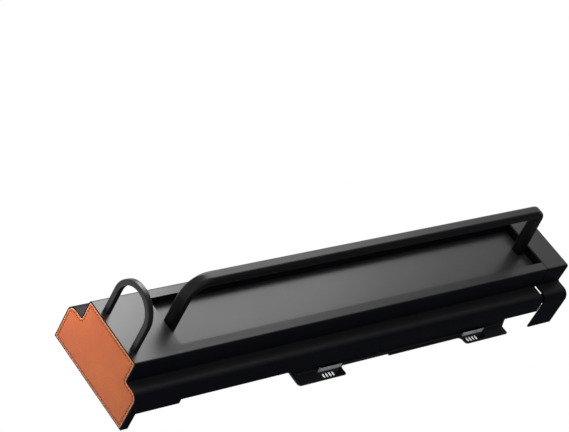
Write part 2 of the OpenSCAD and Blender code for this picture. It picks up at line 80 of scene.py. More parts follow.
def shaded(colour: RGB, share: float) -> RGB:
    """The colour made darker or lighter by a share."""
    return tuple(c * share for c in colour)


def sides(loop: Sequence[Item]) -> Iterator[tuple[Item, Item]]:
    """Each side of a closed loop, as its two ends."""
    return zip(loop, [*loop[1:], loop[0]])


class Body(str, enum.Enum):
    """The bodies that a piece can ride on."""

    BASE = "base"
    CARRIAGE = "carriage"


class Side(str, enum.Enum):
    """The two ball slides, by the side of the carriage that they stand on."""

    LEFT = "left"
    RIGHT = "right"


class Cell(str, enum.Enum):
    """What is measured in a pattern of cells, by Blender's names."""

    EDGE = "DISTANCE_TO_EDGE"
    CENTRE = "F1"


class Field:
    """A value that varies over a surface. Python's arithmetic on it adds Math nodes."""

    def __init__(self, graph: "Graph", socket: bpy.types.NodeSocket) -> None:
        """Keeps the socket and the graph that it belongs to."""
        self.graph = graph
        self.socket = socket

    def _math(
        self, operation: str, left: "Value", right: "Value", clamp: bool = False
    ) -> "Field":
        """Adds one Math node.

        Args:
            operation: Blender's name for the operation.
            left: the first operand.
            right: the second operand.
            clamp: whether the result is held between 0 and 1.

        Returns:
            The node's result.
        """
        settings = {"operation": operation, "use_clamp": clamp}
        node = self.graph.add("ShaderNodeMath", settings, {0: left, 1: right})
        return self.graph.out(node, 0)

    def __add__(self, other: "Value") -> "Field":
        """Adds."""
        return self._math("ADD", self, other)

    def __radd__(self, other: "Value") -> "Field":
        """Adds to a number."""
        return self._math("ADD", other, self)

    def __sub__(self, other: "Value") -> "Field":
        """Subtracts."""
        return self._math("SUBTRACT", self, other)

    def __rsub__(self, other: "Value") -> "Field":
        """Subtracts from a number."""
        return self._math("SUBTRACT", other, self)

    def __mul__(self, other: "Value") -> "Field":
        """Multiplies."""
        return self._math("MULTIPLY", self, other)

    def __rmul__(self, other: "Value") -> "Field":
        """Multiplies a number."""
        return self._math("MULTIPLY", other, self)

    def __truediv__(self, other: "Value") -> "Field":
        """Divides."""
        return self._math("DIVIDE", self, other)

    def __rtruediv__(self, other: "Value") -> "Field":
        """Divides a number."""
        return self._math("DIVIDE", other, self)

    def __abs__(self) -> "Field":
        """Drops the sign."""
        return self._math("ABSOLUTE", self, 0.0)

    def held(self) -> "Field":
        """The value held between 0 and 1."""
        return self._math("ADD", self, 0.0, clamp=True)

    def step(self, start: float, end: float) -> "Field":
        """Rises evenly from 0 at start to 1 at end, and stays there."""
        return ((self - start) / (end - start)).held()


Value = Union[float, Field]


class Graph:
    """A node tree and what adds nodes to it."""

    def __init__(self, tree: bpy.types.NodeTree) -> None:
        """Keeps the tree and empties it."""
        self.tree = tree
        tree.nodes.clear()

    def add(
        self,
        kind: str,
        settings: Optional[Mapping[str, object]] = None,
        inputs: Optional[Mapping[Union[int, str], object]] = None,
    ) -> bpy.types.Node:
        """Adds any node.

        Args:
            kind: Blender's type name of the node.
            settings: the node's own settings, which are set first.
            inputs: a value or a Field for each socket, by its number or name.

        Returns:
            The new node.
        """
        node = self.tree.nodes.new(kind)
        for key, value in (settings or {}).items():
            setattr(node, key, value)
        for key, value in (inputs or {}).items():
            self.feed(node.inputs[key], value)
        return node

    def feed(self, socket: bpy.types.NodeSocket, value: object) -> None:
        """Links a Field to a socket, or sets the socket's own value.

        Args:
            socket: the input socket.
            value: the Field or value. A colour's triple is given its alpha here.
        """
        if isinstance(value, Field):
            self.tree.links.new(value.socket, socket)
        elif isinstance(value, tuple) and len(value) == 3 and socket.type == "RGBA":
            socket.default_value = (*value, 1.0)
        else:
            socket.default_value = value

    def out(self, node: bpy.types.Node, key: Union[int, str]) -> Field:
        """One of a node's outputs, by its number or name."""
        return Field(self, node.outputs[key])

    def mix(self, factor: Value, low: object, high: object) -> Field:
        """Mixes two colours, each a triple of numbers or a Field."""
        inputs = {0: factor, MIX_LOW: low, MIX_HIGH: high}
        return self.out(self.add("ShaderNodeMix", {"data_type": "RGBA"}, inputs), MIX_RESULT)

    def vector(self, operation: str, *values: object) -> Field:
        """Works out one step of vector arithmetic."""
        node = self.add("ShaderNodeVectorMath", {"operation": operation}, dict(enumerate(values)))
        return self.out(node, "Vector")

    def axis(self, vector: Field, index: int) -> Field:
        """One axis of a vector, from 0 to 2."""
        return self.out(self.add("ShaderNodeSeparateXYZ", None, {0: vector}), index)

    def backdrop_rays(self) -> Field:
        """Tells the rays that show the backdrop from those that light the part.

        Returns:
            One for the camera's rays, reflections and rays through glass, else nought.
        """
        rays = self.add("ShaderNodeLightPath")
        first, *others = (self.out(rays, name) for name in BACKDROP_RAYS)
        return sum(others, first).held()


class Surface(Graph):
    """The node tree of one material, with a Principled shader at its end."""

    def __init__(self, name: str) -> None:
        """Starts the tree with its shader and coordinates.

        Args:
            name: the name of the new material.
        """
        self.material = bpy.data.materials.new(name)
        self.material.use_nodes = True
        super().__init__(self.material.node_tree)
        self.shader = self.add("ShaderNodeBsdfPrincipled")
        self.add("ShaderNodeOutputMaterial", None, {"Surface": self.out(self.shader, "BSDF")})
        coordinates = self.add("ShaderNodeTexCoord")
        self.place = self.out(coordinates, "Object")
        self.normal = self.out(coordinates, "Normal")

    def set(self, **sockets: object) -> None:
        """Sets the shader's sockets, with a low line in place of each space in their names."""
        for name, value in sockets.items():
            self.feed(self.shader.inputs[name.replace("_", " ")], value)

    def stretched(self, share: float) -> Field:
        """The place on the object, with only that share of its way along Y."""
        return self.vector("MULTIPLY", self.place, (1.0, share, 1.0))

    def facing_down(self) -> Field:
        """One where the surface looks down, and nought where it leans well away from that."""
        return (self.axis(self.normal, Z_AXIS) * -1.0).step(*DOWN_RANGE)

    def noise(
        self,
        scale: float,
        detail: float = 2.0,
        rough: float = 0.5,
        where: Optional[Field] = None,
        output: Union[int, str] = 0,
    ) -> Field:
        """Smooth noise around the middle.

        Args:
            scale: features to the metre, about.
            detail: how many finer layers it has.
            rough: how strong these layers are.
            where: the coordinates, or none for the place on the object.
            output: the output that is used, which is one value unless told otherwise.

        Returns:
            The noise.
        """
        inputs = {
            "Vector": where or self.place,
            "Scale": scale,
            "Detail": detail,
            "Roughness": rough,
        }
        return self.out(self.add("ShaderNodeTexNoise", None, inputs), output)

    def cells(self, scale: float, measure: Cell, where: Field) -> Field:
        """The distance in a pattern of that many cells to the metre.

        Args:
            scale: cells to the metre, about.
            measure: what the distance is measured to.
            where: the coordinates.

        Returns:
            The distance, in cells.
        """
        settings = {"feature": measure.value}
        node = self.add("ShaderNodeTexVoronoi", settings, {"Vector": where, "Scale": scale})
        return self.out(node, "Distance")

    def bump(self, height: Field, depth: float) -> None:
        """Raises the surface by a height from 0 to 1 times a depth in metres."""
        inputs = {"Height": height, "Distance": depth, "Strength": 1.0}
        self.set(Normal=self.out(self.add("ShaderNodeBump", None, inputs), "Normal"))


@dataclass(frozen=True)
class Finish:
    """What all finishes share."""

    name: str
    colour: RGB
    roughness: float

    def material(self) -> bpy.types.Material:
        """Builds the finish, once for each name.

        Returns:
            The finish's material.
        """
        made = bpy.data.materials.get(self.name)
        if made is None:
            graph = Surface(self.name)
            self.paint(graph)
            made = graph.material
        return made

    def paint(self, graph: Surface) -> None:
        """Sets the plain colour and roughness."""
        graph.set(Base_Color=self.colour, Roughness=self.roughness)

    def uneven(self, *swings: tuple[Field, float], start: Optional[Value] = None) -> Value:
        """A roughness that swings with some noises.

        Args:
            swings: each noise, with how much it adds from its lowest to its highest.
            start: what it swings around, or none for the finish's own roughness.

        Returns:
            The roughness.
        """
        value = self.roughness if start is None else start
        for noise, amount in swings:
            value = value + (noise - MIDDLE) * amount
        return value

    def dress(self, *nodes: str) -> None:
        """Gives this finish to CAD nodes, in all their material slots.

        Args:
            nodes: the nodes' names.
        """
        for name in nodes:
            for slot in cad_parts[name].material_slots:
                slot.material = self.material()
            LOG.info("%s: %s", name, self.name)


@dataclass(frozen=True)
class SatinShell(Finish):
    """Black shells, satin on the faces under the carriage and dull on their sides; those faces
    are also painted lighter, greyer and more metallic, which is painted light on what is one
    finish.
    """

    # Painted light: the lighter grey that the faces looking down get, where the sides keep the
    # dark colour.
    deck: RGB = srgb(62, 62, 62)
    deck_roughness: float = 0.3
    deck_metal: float = 0.6
    # Painted shade: the share of that painted light left on the shoulder's underside.
    shoulder_painted_light_share: float = 0.35
    shoulder_depth: float = 0.042
    recess_depth: float = 0.049
    specular: float = 0.02
    cloud: float = 28.0
    side_tint: float = 1.35
    deck_tints: tuple[float, float] = (0.93, 1.07)
    grain: float = 5200.0
    grain_depth: float = 0.00002
    grain_swing: float = 0.12
    drawn: bool = False
    draw_share: float = 0.012

    def paint(self, graph: Surface) -> None:
        """Mixes both by the way the surface faces, over a fine grain; the faces looking down get
        painted light, and the shoulder's underside only a share of it.

        Args:
            graph: the material's nodes.
        """
        depth = graph.axis(graph.place, Z_AXIS) * -1.0
        below = depth.step(self.shoulder_depth, self.recess_depth)
        share = below * (1.0 - self.shoulder_painted_light_share) + self.shoulder_painted_light_share
        # Painted light: how much of the lighter, metallic look a face gets, by its facing and
        # depth.
        painted_light_mask = graph.facing_down() * share
        cloud = graph.noise(self.cloud, detail=3.0)
        side = graph.mix(cloud, self.colour, shaded(self.colour, self.side_tint))
        deck = graph.mix(cloud, *(shaded(self.deck, tint) for tint in self.deck_tints))
        where = graph.stretched(self.draw_share) if self.drawn else None
        grain = graph.noise(self.grain, rough=0.6, where=where)
        gloss = self.roughness + painted_light_mask * (self.deck_roughness - self.roughness)
        graph.set(
            Base_Color=graph.mix(painted_light_mask, side, deck),
            Metallic=painted_light_mask * self.deck_metal,
            Roughness=self.uneven((grain, self.grain_swing), start=gloss),
            Specular_IOR_Level=self.specular,
        )
        graph.bump(grain, self.grain_depth)


@dataclass(frozen=True)
class PowderCoat(Finish):
    """Black powder coat with a soft orange peel and faint dust."""

    peel: float = 900.0
    peel_depth: float = 0.000015
    peel_swing: float = 0.2
    cloud: float = 35.0
    dust: float = 1.5
    specular: float = 0.08

    def paint(self, graph: Surface) -> None:
        """Lays the peel over a slightly uneven colour.

        Args:
            graph: the material's nodes.
        """
        peel = graph.noise(self.peel, rough=0.4)
        cloud = graph.noise(self.cloud, detail=3.0)
        graph.set(
            Base_Color=graph.mix(cloud, self.colour, shaded(self.colour, self.dust)),
            Roughness=self.uneven((peel, self.peel_swing)),
            Specular_IOR_Level=self.specular,
        )
        graph.bump(peel, self.peel_depth)


@dataclass(frozen=True)
class ZincPlate(Finish):
    """Bright zinc, uneven in tone from the bath, with painted shade where a dark colour is given:
    the faces turned down take it.
    """

    tone: RGB = srgb(196, 199, 204)
    cloud: float = 260.0
    cloud_range: tuple[float, float] = (0.3, 0.7)
    cloud_swing: float = 0.25
    marks: float = 2600.0
    marks_depth: float = 0.000012
    marks_swing: float = 0.1
    metal: float = 0.95
    # Painted shade: the dark colour of the faces turned down, or none.
    painted_shade_underside: Optional[RGB] = None

    def paint(self, graph: Surface) -> None:
        """Mixes two tones of metal over fine rubbing marks, and paints shade on the faces turned
        down where a dark colour is given.

        Args:
            graph: the material's nodes.
        """
        cloud = graph.noise(self.cloud, detail=4.0, rough=0.6)
        marks = graph.noise(self.marks)
        zinc = graph.mix(cloud.step(*self.cloud_range), self.colour, self.tone)
        # Painted shade on the faces turned down.
        if self.painted_shade_underside is not None:
            zinc = graph.mix(graph.facing_down(), zinc, self.painted_shade_underside)
        graph.set(
            Base_Color=zinc,
            Metallic=self.metal,
            Roughness=self.uneven((cloud, self.cloud_swing), (marks, self.marks_swing)),
        )
        graph.bump(marks, self.marks_depth)


@dataclass(frozen=True)
class RolledZinc(Finish):
    """Roll-formed, zinc-plated strip with streaks along its length and greased races."""

    tone: RGB = srgb(186, 189, 194)
    grease: RGB = srgb(70, 66, 58)
    metal: float = 0.92
    streak: float = 1500.0
    streak_share: float = 0.008
    streak_range: tuple[float, float] = (0.3, 0.7)
    streak_depth: float = 0.00001
    streak_swing: float = 0.22
    cloud: float = 60.0
    cloud_swing: float = 0.1
    race_range: tuple[float, float] = (0.25, 0.7)
    patch_range: tuple[float, float] = (0.42, 0.62)
    grease_share: float = 0.35

    def paint(self, graph: Surface) -> None:
        """Draws the streaks, and a film of grease where the surface curves round the balls.

        Args:
            graph: the material's nodes.
        """
        where = graph.stretched(self.streak_share)
        streak = graph.noise(self.streak, detail=3.0, rough=0.6, where=where)
        cloud = graph.noise(self.cloud, detail=3.0)
        race = abs(graph.axis(graph.normal, Z_AXIS)).step(*self.race_range)
        film = race * cloud.step(*self.patch_range) * self.grease_share
        zinc = graph.mix(streak.step(*self.streak_range), self.colour, self.tone)
        graph.set(
            Base_Color=graph.mix(film, zinc, self.grease),
            Metallic=self.metal,
            Roughness=self.uneven((streak, self.streak_swing), (cloud, self.cloud_swing)),
        )
        graph.bump(streak, self.streak_depth)


@dataclass(frozen=True)
class BareMetal(Finish):
    """Smooth metal, such as balls and passivated cages."""

    metal: float = 1.0
    marks: float = 900.0
    marks_tint: float = 0.8
    marks_depth: float = 0.000006
    marks_swing: float = 0.12

    def paint(self, graph: Surface) -> None:
        """Breaks up the gloss with small marks.

        Args:
            graph: the material's nodes.
        """
        marks = graph.noise(self.marks, detail=3.0, rough=0.6)
        graph.set(
            Base_Color=graph.mix(marks, shaded(self.colour, self.marks_tint), self.colour),
            Metallic=self.metal,
            Roughness=self.uneven((marks, self.marks_swing)),
        )
        graph.bump(marks, self.marks_depth)


@dataclass(frozen=True)
class Rubber(Finish):
    """Dull black rubber with a bloom."""

    pale: RGB = srgb(58, 58, 60)
    bloom: float = 180.0
    bloom_range: tuple[float, float] = (0.35, 0.8)
    bloom_swing: float = 0.15
    grain: float = 2400.0
    grain_depth: float = 0.00002
    specular: float = 0.3

    def paint(self, graph: Surface) -> None:
        """Lays a pale bloom over the black.

        Args:
            graph: the material's nodes.
        """
        bloom = graph.noise(self.bloom, detail=4.0, rough=0.65)
        graph.set(
            Base_Color=graph.mix(bloom.step(*self.bloom_range), self.colour, self.pale),
            Roughness=self.uneven((bloom, self.bloom_swing)),
            Specular_IOR_Level=self.specular,
        )
        graph.bump(graph.noise(self.grain), self.grain_depth)


@dataclass(frozen=True)
class Leather(Finish):
    """Smooth orange-tan leather with a fine pebbled grain."""

    deep: RGB = srgb(150, 74, 40)
    warm: RGB = srgb(202, 107, 50)
    grain: float = 1900.0
    grain_depth: float = 0.00006
    grain_swing: float = -0.12
    warp: float = 700.0
    warp_reach: float = 0.0009
    crease_range: tuple[float, float] = (0.0, 0.22)
    crease_share: float = 0.8
    crease_shade: tuple[float, float] = (0.0, 0.7)
    pores_to_grain: float = 2.3
    pore_range: tuple[float, float] = (0.1, 0.6)
    pore_share: float = 0.2
    cloud: float = 22.0
    cloud_range: tuple[float, float] = (0.3, 0.72)
    cloud_swing: float = 0.1
    specular: float = 0.15
    sheen: float = 0.04

    def paint(self, graph: Surface) -> None:
        """Builds the grain from two sizes of cell, darker in the creases.

        Args:
            graph: the material's nodes.
        """
        warp = graph.noise(self.warp, output="Color")
        where = graph.vector("MULTIPLY_ADD", warp, (self.warp_reach,) * 3, graph.place)
        crease = graph.cells(self.grain, Cell.EDGE, where).step(*self.crease_range)
        pore_scale = self.grain * self.pores_to_grain
        pores = graph.cells(pore_scale, Cell.CENTRE, where).step(*self.pore_range)
        height = crease * self.crease_share + pores * self.pore_share
        cloud = graph.noise(self.cloud, detail=4.0, rough=0.55)
        body = graph.mix(cloud.step(*self.cloud_range), self.colour, self.warm)
        graph.set(
            Base_Color=graph.mix(height.step(*self.crease_shade), self.deep, body),
            Roughness=self.uneven((height, self.grain_swing), (cloud, self.cloud_swing)),
            Specular_IOR_Level=self.specular,
            Sheen_Weight=self.sheen,
        )
        graph.bump(height, self.grain_depth)


@dataclass(frozen=True)
class Thread(Finish):
    """Twisted thread, and the cream bead of painted highlight on the leather's edge, each with a
    fine fibre.
    """

    fibre: float = 5200.0
    fibre_tint: float = 0.72
    fibre_depth: float = 0.00003
    fibre_swing: float = 0.2

    def paint(self, graph: Surface) -> None:
        """Shades the colour along the fibre.

        Args:
            graph: the material's nodes.
        """
        fibre = graph.noise(self.fibre, rough=0.6)
        graph.set(
            Base_Color=graph.mix(fibre, shaded(self.colour, self.fibre_tint), self.colour),
            Roughness=self.uneven((fibre, self.fibre_swing)),
        )
        graph.bump(fibre, self.fibre_depth)


ANODISED = SatinShell("black_anodised_profile", srgb(15, 16, 21), 0.5, drawn=True)
CAP_BLACK = SatinShell("black_moulded_cap", srgb(14, 15, 22), 0.52, grain=3400.0)
PLATE_COAT = PowderCoat("plate_powder_coat", srgb(40, 41, 44), 0.5)
LOOP_COAT = PowderCoat("loop_black_coat", srgb(17, 18, 22), 0.34, specular=0.24)
ROD_COAT = PowderCoat("rod_black_coat", srgb(13, 13, 14), 0.36, specular=0.2)
FIXING_ZINC = ZincPlate(
    "fixing_plate_zinc",
    srgb(216, 219, 223),
    0.3,
    tone=srgb(240, 241, 243),
    metal=0.25,
    # Painted shade on the plates' faces turned down.
    painted_shade_underside=srgb(26, 27, 30),
)
SCREW_ZINC = ZincPlate("screw_zinc", srgb(140, 143, 148), 0.3, cloud=420.0)
RAIL_ZINC = RolledZinc("rail_rolled_zinc", srgb(148, 151, 156), 0.36)
CAGE_STEEL = BareMetal("cage_passivated_steel", srgb(188, 164, 96), 0.34)
BALL_STEEL = BareMetal("ball_steel", srgb(210, 212, 216), 0.12)
STOP_RUBBER = Rubber("stop_rubber", srgb(26, 26, 27), 0.7)
CARD_BLACK = Finish("card_black", srgb(8, 8, 8), 0.9)
PAD_LEATHER = Leather("tan_leather", srgb(184, 88, 50), 0.5)
# Painted highlight: the cream colour of the bead along the leather's rolled edge.
PAD_EDGE_HIGHLIGHT = Thread("pad_edge_painted_highlight", srgb(226, 168, 122), 0.5)
PAD_THREAD = Thread("pad_stitch_thread", srgb(92, 34, 14), 0.6)


@dataclass
class Outline:
    """The carriage's end outline in X and height above the deck, in millimetres."""

    deck_half: float = 34.0
    skirt_half: float = 50.5
    shoulder: float = 19.6
    shoulder_radius: float = 8.0
    edge_radius: float = 2.2
    corner_radius: float = 0.55
    notch_radius: float = 1.6
    top: float = 57.6
    arc_steps: int = 10

    def _arc(self, centre: Point2, radius: float, start: float, turn: float) -> list[Point2]:
        """Points on an arc.

        Args:
            centre: the arc's centre.
            radius: its radius.
            start: the angle that it starts at, in degrees.
            turn: how far it turns from there.

        Returns:
            The points, from its start to its end.
        """
        points = []
        for i in range(self.arc_steps + 1):
            angle = math.radians(start + turn * i / self.arc_steps)
            x, h = radius * math.cos(angle), radius * math.sin(angle)
            points.append((centre[0] + x, centre[1] + h))
        return points

    def loop(self, inset: float) -> list[Point2]:
        """The closed outline, with the same number of points for every inset.

        Args:
            inset: how far it is moved in.

        Returns:
            Its points, once round.
        """
        deck, skirt = self.deck_half - inset, self.skirt_half - inset
        edge, corner = max(self.edge_radius - inset, self.corner_radius), self.corner_radius
        notch, bend = self.notch_radius + inset, self.shoulder_radius - inset
        shoulder, top = self.shoulder + inset, self.top - inset
        half = [
            *self._arc((deck - edge, inset + edge), edge, -90.0, 90.0),
            *self._arc((deck + notch, shoulder - notch), notch, 180.0, -90.0),
            *self._arc((skirt - bend, shoulder + bend), bend, -90.0, 90.0),
            *self._arc((skirt - corner, top - corner), corner, 0.0, 90.0),
        ]
        return half + [(-x, h) for x, h in reversed(half)]


class Piece:
    """Mesh helpers for the pieces that the scene adds."""

    @staticmethod
    def from_bmesh(
        name: str, mesh: bmesh.types.BMesh, finish: Finish, body: Body, slot: str
    ) -> bpy.types.Object:
        """Turns a bmesh into an object that rides on a body.

        Args:
            name: the piece's name.
            mesh: the geometry, which is freed.
            finish: what it is finished in.
            body: the body that it moves with.
            slot: the record's material slot that it stands for, which is not used.

        Returns:
            The new object.
        """
        bmesh.ops.recalc_face_normals(mesh, faces=mesh.faces)
        data = bpy.data.meshes.new(name)
        mesh.to_mesh(data)
        mesh.free()
        data.shade_smooth()
        piece = bpy.data.objects.new(name, data)
        data.materials.append(finish.material())
        bpy.context.scene.collection.objects.link(piece)
        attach(piece, body.value)
        LOG.info("%s: %s, %d faces", name, finish.name, len(data.polygons))
        return piece

    @staticmethod
    def sweep(
        mesh: bmesh.types.BMesh,
        points: Sequence[Vector],
        radii: Sequence[float],
        across: Vector,
        count: int,
        closed: bool,
    ) -> None:
        """Adds a round tube along points.

        Args:
            mesh: where it goes.
            points: the middle line.
            radii: the tube's radius at each point.
            across: a direction that lies across the whole line.
            count: how many sides the tube has.
            closed: whether the line joins up with its start.
        """
        angles = [math.tau * k / count for k in range(count)]
        last = len(points) - 1
        rings = []
        for i, (point, radius) in enumerate(zip(points, radii)):
            ahead = points[(i + 1) % len(points)] if closed or i < last else point
            behind = points[i - 1] if closed or i else point
            along = (ahead - behind).normalized()
            u = (across - along * across.dot(along)).normalized()
            v = along.cross(u)
            spokes = [(u * math.cos(a) + v * math.sin(a)) * radius for a in angles]
            rings.append([mesh.verts.new(point + spoke) for spoke in spokes])
        for one, two in sides(rings) if closed else zip(rings, rings[1:]):
            for (a, b), (c, d) in zip(sides(one), sides(two)):
                mesh.faces.new((a, b, d, c))
        if not closed:
            mesh.faces.new(rings[0][::-1])
            mesh.faces.new(rings[last])


@dataclass
class FrontPad:
    """The leather pad on the front: its crowned cover, a cream bead of painted highlight along
    its edge, and stitches. Millimetres.
    """

    outline: Outline = field(default_factory=Outline)
    front_y: float = -312.5
    deck_z: float = -59.5
    thickness: float = 2.6
    border: float = 1.3
    setback: float = 0.1
    edge_radius: float = 0.75
    crown: float = 0.35
    crown_reach: float = 14.0
    seam_at: float = 1.9
    seam_dip: float = 0.14
    seam_width: float = 0.45
    grid_pitch: float = 2.4
    grid_clear: float = 0.45
    thread_radius: float = 0.3
    thread_sides: int = 6
    stitch_length: float = 2.1
    stitch_pitch: float = 3.0
    stitch_shares: tuple[float, ...] = (-0.5, -0.36, -0.15, 0.15, 0.36, 0.5)
    stitch_arch: float = 1.5
    stitch_sink: float = 0.55
    stitch_end: float = 0.6
    bead_radius: float = 0.26
    bead_at: float = 0.45
    bead_sink: float = 0.35
    bead_pitch: float = 1.0
    bead_sides: int = 8
    rings_at: tuple[float, ...] = (
        *(0.0, 0.08, 0.24, 0.47, 0.75, 1.1, 1.5),
        *(1.8, 2.1, 2.4, 2.7, 3.3, 4.2, 5.2),
    )

    def _depth(self, inset: float) -> float:
        """How far behind the front plane the cover lies.

        Args:
            inset: the distance in from the cover's edge.

        Returns:
            The depth.
        """
        short = max(self.edge_radius - inset, 0.0)
        drop = self.edge_radius - math.sqrt(self.edge_radius**2 - short**2)
        seam = self.seam_dip * math.exp(-(((inset - self.seam_at) / self.seam_width) ** 2))
        rise = self.crown * (1 - (1 - min(inset / self.crown_reach, 1.0)) ** 2)
        return drop + seam + self.setback - rise

    def _to_row(self, point: Point2, depth: float) -> Vector:
        """A place in metres, from X and height, and the depth behind the front plane."""
        return Vector((point[0], self.front_y + depth, self.deck_z + point[1])) * MM

    def _edge_distance(self, point: Point2, loop: Sequence[Point2]) -> float:
        """The shortest distance from a point to a closed loop.

        Args:
            point: the point.
            loop: the loop's points.

        Returns:
            The distance.
        """
        spot = Vector(point)
        best = math.inf
        for start, end in sides([Vector(p) for p in loop]):
            span = end - start
            share = (spot - start).dot(span) / max(span.length_squared, LEAST_SQUARE)
            nearest = span * min(max(share, 0.0), 1.0)
            best = min(best, (spot - start - nearest).length)
        return best

    def _inside(self, point: Point2, loop: Sequence[Point2]) -> bool:
        """Whether a point lies inside a closed loop.

        Args:
            point: the point.
            loop: the loop's points.

        Returns:
            True if it does.
        """
        x, y = point
        inside = False
        for (x1, y1), (x2, y2) in sides(loop):
            if (y1 > y) != (y2 > y) and x < (x2 - x1) * (y - y1) / (y2 - y1) + x1:
                inside = not inside
        return inside

    def _interior(self, loop: Sequence[Point2]) -> list[Point2]:
        """A staggered grid of points inside a closed loop.

        Args:
            loop: the loop's points.

        Returns:
            The grid's points that lie well clear of the loop.
        """
        found = []
        rows = int(self.outline.top / self.grid_pitch) + 1
        columns = int(self.outline.skirt_half / self.grid_pitch) + 1
        clear = self.grid_pitch * self.grid_clear
        for j in range(rows):
            for i in range(-columns, columns + 1):
                point = ((i + j % 2 / 2) * self.grid_pitch, j * self.grid_pitch)
                if self._inside(point, loop) and self._edge_distance(point, loop) > clear:
                    found.append(point)
        return found

    def _rim(
        self, mesh: bmesh.types.BMesh, rings: Sequence[Sequence[Point2]]
    ) -> list[bmesh.types.BMVert]:
        """Adds the cover's flat back and a band of faces for each ring.

        Args:
            mesh: where they go.
            rings: the outlines of the rings, the widest first.

        Returns:
            The vertices of the last ring.
        """
        before = [mesh.verts.new(self._to_row(p, self.thickness)) for p in rings[0]]
        mesh.faces.new(before)
        for ring, inset in zip(rings, self.rings_at):
            ring_verts = [mesh.verts.new(self._to_row(p, self._depth(inset))) for p in ring]
            for (a, b), (c, d) in zip(sides(before), sides(ring_verts)):
                mesh.faces.new((a, b, d, c))
            before = ring_verts
        return before

    def _crowned(
        self,
        mesh: bmesh.types.BMesh,
        rings: Sequence[Sequence[Point2]],
        rim: Sequence[bmesh.types.BMVert],
    ) -> None:
        """Fills the last ring with triangles that rise to the crown.

        Args:
            mesh: where they go.
            rings: the outlines of the rings, the widest first.
            rim: the vertices of the last ring.
        """
        points = [Vector(p) for p in (*rings[-1], *self._interior(rings[-1]))]
        edges = list(sides(range(len(rim))))
        flat, _, faces, origins, _, _ = delaunay_2d_cdt(
            points, edges, [], TRIANGLES_INSIDE, SAME_POINT
        )
        verts = []
        for (x, h), origin in zip(flat, origins):
            if origin and origin[0] < len(rim):
                verts.append(rim[origin[0]])
            else:
                depth = self._depth(self._edge_distance((x, h), rings[0]))
                verts.append(mesh.verts.new(self._to_row((x, h), depth)))
        for face in faces:
            if len({verts[k] for k in face}) == len(face):
                mesh.faces.new([verts[k] for k in face])

    def _track(self, inset: float, pitch: float) -> list[tuple[Point2, Point2]]:
        """Evenly spaced places on a ring.

        Args:
            inset: the ring's distance in from the cover's edge.
            pitch: the spacing, which is rounded to fit.

        Returns:
            The places, each with the direction along the ring.
        """
        loop = [Vector(p) for p in self.outline.loop(self.border + inset)]
        spans = [end - start for start, end in sides(loop)]
        total = sum(span.length for span in spans)
        count = round(total / pitch)
        step = total / count
        track, walked, i = [], 0.0, 0
        for n in range(count):
            while walked + spans[i].length < n * step:
                walked += spans[i].length
                i += 1
            along = spans[i].normalized()
            spot = loop[i] + along * (n * step - walked)
            track.append((tuple(spot), tuple(along)))
        return track

    def cover(self) -> bpy.types.Object:
        """The leather cover: rings down its rolled edge, and a crowned field inside them.

        Returns:
            The cover, which stands in for the plain pad.
        """
        mesh = bmesh.new()
        rings = [self.outline.loop(self.border + inset) for inset in self.rings_at]
        self._crowned(mesh, rings, self._rim(mesh, rings))
        piece = Piece.from_bmesh("leather_cover", mesh, PAD_LEATHER, Body.CARRIAGE, "leather")
        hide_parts("leather_pad")
        return piece

    def bead(self) -> bpy.types.Object:
        """A thin cream bead that runs round the rim of the leather, a painted highlight on its
        rolled edge.

        Returns:
            The bead.
        """
        mesh = bmesh.new()
        inset = self.edge_radius * self.bead_at
        depth = self._depth(inset) + self.bead_radius * self.bead_sink
        points = [self._to_row(spot, depth) for spot, _ in self._track(inset, self.bead_pitch)]
        radii = [self.bead_radius * MM] * len(points)
        front = Vector((0.0, -1.0, 0.0))
        Piece.sweep(mesh, points, radii, front, self.bead_sides, closed=True)
        return Piece.from_bmesh("leather_edge_highlight_bead", mesh, PAD_EDGE_HIGHLIGHT, Body.CARRIAGE, "leather")

    def stitches(self) -> bpy.types.Object:
        """The row of stitches, each an arched bit of thread whose ends sink into the seam.

        Returns:
            The stitches, as one piece.
        """
        mesh = bmesh.new()
        surface = self._depth(self.seam_at)
        for (x, h), (dx, dh) in self._track(self.seam_at, self.stitch_pitch):
            points, radii = [], []
            for share in self.stitch_shares:
                swell = math.cos(math.pi * share)
                arch = self.thread_radius * (self.stitch_arch * swell - self.stitch_sink)
                along = share * self.stitch_length
                points.append(self._to_row((x + dx * along, h + dh * along), surface - arch))
                width = self.stitch_end + (1 - self.stitch_end) * swell
                radii.append(self.thread_radius * MM * width)
            across = Vector((dh, 0.0, -dx))
            Piece.sweep(mesh, points, radii, across, self.thread_sides, closed=False)
        return Piece.from_bmesh("leather_stitches", mesh, PAD_THREAD, Body.CARRIAGE, "leather")

    def build(self) -> None:
        """Builds all three."""
        self.cover()
        self.bead()
        self.stitches()


@dataclass
class ShelfMount:
    """What screws to the shelf and holds the fixed slide members."""

    coated: tuple[str, ...] = (
        "base_plate",
        "base_rivets",
        "hanger_angle_left",
        "hanger_angle_right",
    )
    plated: tuple[str, ...] = ("slotted_fixing_plates",)
    fasteners: tuple[str, ...] = ("outer_rail_rivets",)
    stops: tuple[str, ...] = ("outer_rail_bumpers",)

    def build(self) -> None:
        """Dresses the mount."""
        PLATE_COAT.dress(*self.coated)
        FIXING_ZINC.dress(*self.plated)
        SCREW_ZINC.dress(*self.fasteners)
        STOP_RUBBER.dress(*self.stops)


